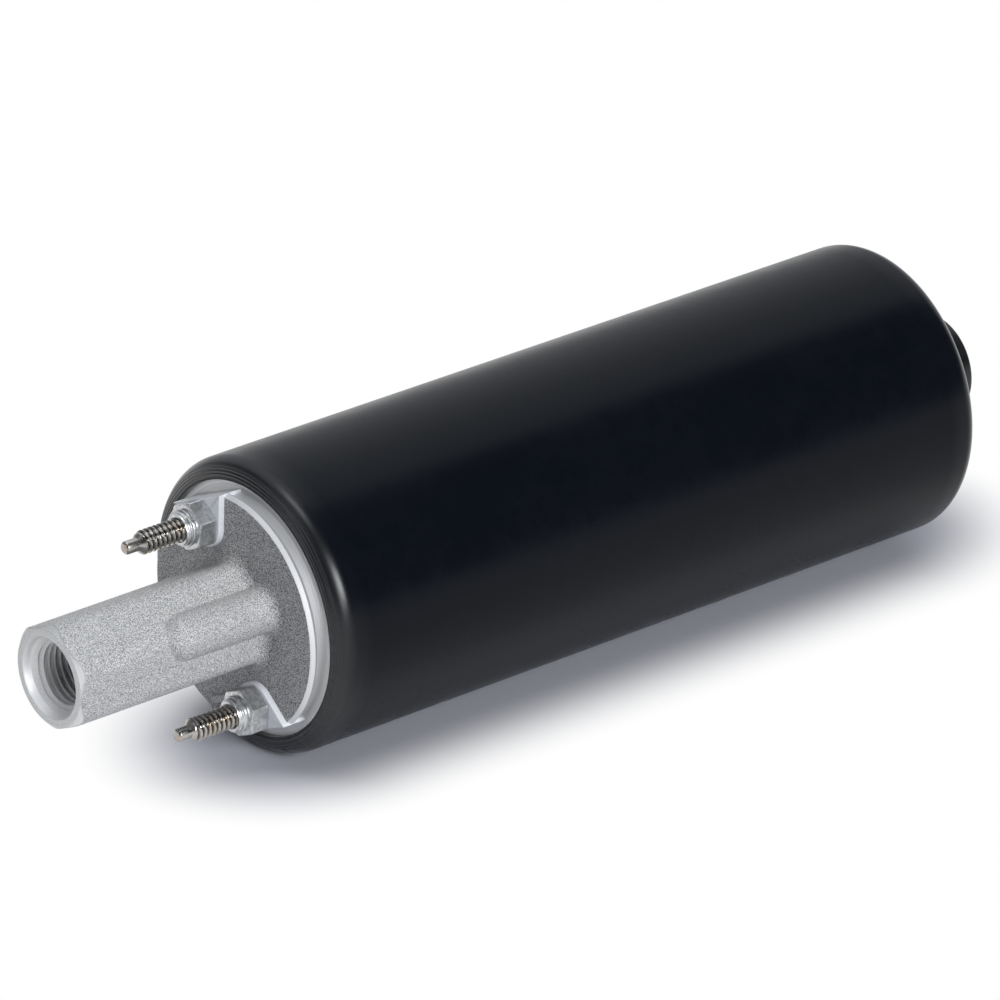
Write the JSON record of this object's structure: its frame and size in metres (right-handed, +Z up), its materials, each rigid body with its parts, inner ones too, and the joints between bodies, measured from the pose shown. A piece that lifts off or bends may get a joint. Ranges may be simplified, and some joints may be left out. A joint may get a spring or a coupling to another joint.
{
  "type": "inline electric fuel pump",
  "caption": "Cylindrical inline fuel pump: black rolled can, cast outlet cap with a hexagonal threaded port, two insulated terminal studs, gerotor and motor inside.",
  "frame": {"origin": "on the pump axis, halfway along the straight barrel of the can", "axes": "+X along the pump axis, the way the fuel leaves the outlet; +Z up as the pump lies in the picture"},
  "size_m": [0.1628, 0.043, 0.043],
  "materials": {
    "can": "satin black paint over drawn steel",
    "outlet_cap": "gritty die-cast surface, turned port face",
    "inlet_cap": "black-coated turned aluminium",
    "o_ring": "black nitrile rubber",
    "stud": "nickel-plated steel with rolled thread",
    "nut": "bright zinc plate",
    "insulator": "smooth light grey moulded nylon",
    "brass": "turned brass",
    "bronze": "sintered bronze",
    "spring": "bright spring wire",
    "steel": "ground steel",
    "sintered": "dark sintered steel, ground faces",
    "alloy_plate": "turned hard-anodised aluminium",
    "holder": "natural glass-filled plastic",
    "carbon": "pressed carbon",
    "ferrite": "grey ferrite",
    "copper": "enamelled copper",
    "fibre": "red-brown vulcanised fibre",
    "screen": "perforated nickel-plated sheet"
  },
  "bodies": {
    "casing": {"can": "can", "outlet_cap": "outlet_cap", "inlet_cap": "inlet_cap", "outlet_o_ring": "o_ring", "inlet_o_ring": "o_ring", "stud_positive": "stud", "stud_negative": "stud", "stud_nut_positive": "nut", "stud_nut_negative": "nut", "lock_washer_positive": "nut", "lock_washer_negative": "nut", "insulator_positive": "insulator", "insulator_negative": "insulator", "stud_seal_positive": "o_ring", "stud_seal_negative": "o_ring", "check_seat": "brass", "check_cage": "brass", "check_spring": "spring", "relief_spring": "spring", "relief_plug": "brass", "brush_holder": "holder", "outlet_bush": "bronze", "brush_guide_positive": "brass", "brush_guide_negative": "brass", "brush_spring_positive": "spring", "brush_spring_negative": "spring", "brush_shunt_positive": "copper", "brush_shunt_negative": "copper", "choke_core_positive": "ferrite", "choke_core_negative": "ferrite", "choke_coil_positive": "copper", "choke_coil_negative": "copper", "choke_leads": "copper", "flux_ring": "steel", "magnet_upper": "ferrite", "magnet_lower": "ferrite", "magnet_clips": "spring", "bearing_plate": "alloy_plate", "drive_bush": "bronze", "eccentric_ring": "sintered", "inlet_plate": "alloy_plate", "stack_screws": "nut", "inlet_screen": "screen"},
    "armature": {"armature_shaft": "steel", "laminations": "steel", "armature_windings": "copper", "end_insulators": "fibre", "commutator": "copper", "thrust_washers": "steel", "drive_pin": "steel", "inner_rotor": "sintered"},
    "outer_rotor": {"outer_rotor": "sintered"},
    "check_valve": {"check_poppet": "brass", "check_seal": "o_ring"},
    "relief_valve": {"relief_ball": "steel"},
    "positive_brush": {"brush_positive": "carbon"},
    "negative_brush": {"brush_negative": "carbon"}
  },
  "joints": [
    {"name": "armature_spin", "type": "hinge", "parent": "casing", "child": "armature", "pos_m": [0, 0, 0], "axis": [1, 0, 0], "continuous": true},
    {"name": "outer_rotor_spin", "type": "hinge", "parent": "casing", "child": "outer_rotor", "pos_m": [-0.038, 0.00115, 0], "axis": [1, 0, 0], "continuous": true},
    {"name": "check_valve_lift", "type": "slide", "parent": "casing", "child": "check_valve", "axis": [1, 0, 0], "range_m": [0, 0.002], "stiffness_N_per_m": 150, "springref_m": -0.003, "deforming": ["check_spring"]},
    {"name": "relief_valve_lift", "type": "slide", "parent": "casing", "child": "relief_valve", "axis": [-1, 0, 0], "range_m": [0, 0.001], "stiffness_N_per_m": 400, "springref_m": -0.002, "deforming": ["relief_spring"]},
    {"name": "positive_brush_slide", "type": "slide", "parent": "casing", "child": "positive_brush", "axis": [0, 0.9107, 0.4131], "range_m": [0, 0.0012], "stiffness_N_per_m": 300, "springref_m": -0.003, "deforming": ["brush_spring_positive", "brush_shunt_positive"]},
    {"name": "negative_brush_slide", "type": "slide", "parent": "casing", "child": "negative_brush", "axis": [0, -0.9107, -0.4131], "range_m": [0, 0.0012], "stiffness_N_per_m": 300, "springref_m": -0.003, "deforming": ["brush_spring_negative", "brush_shunt_negative"]}
  ],
  "couplings": [
    {"joint": "outer_rotor_spin", "follows": "armature_spin", "ratio": 0.85714}
  ]
}
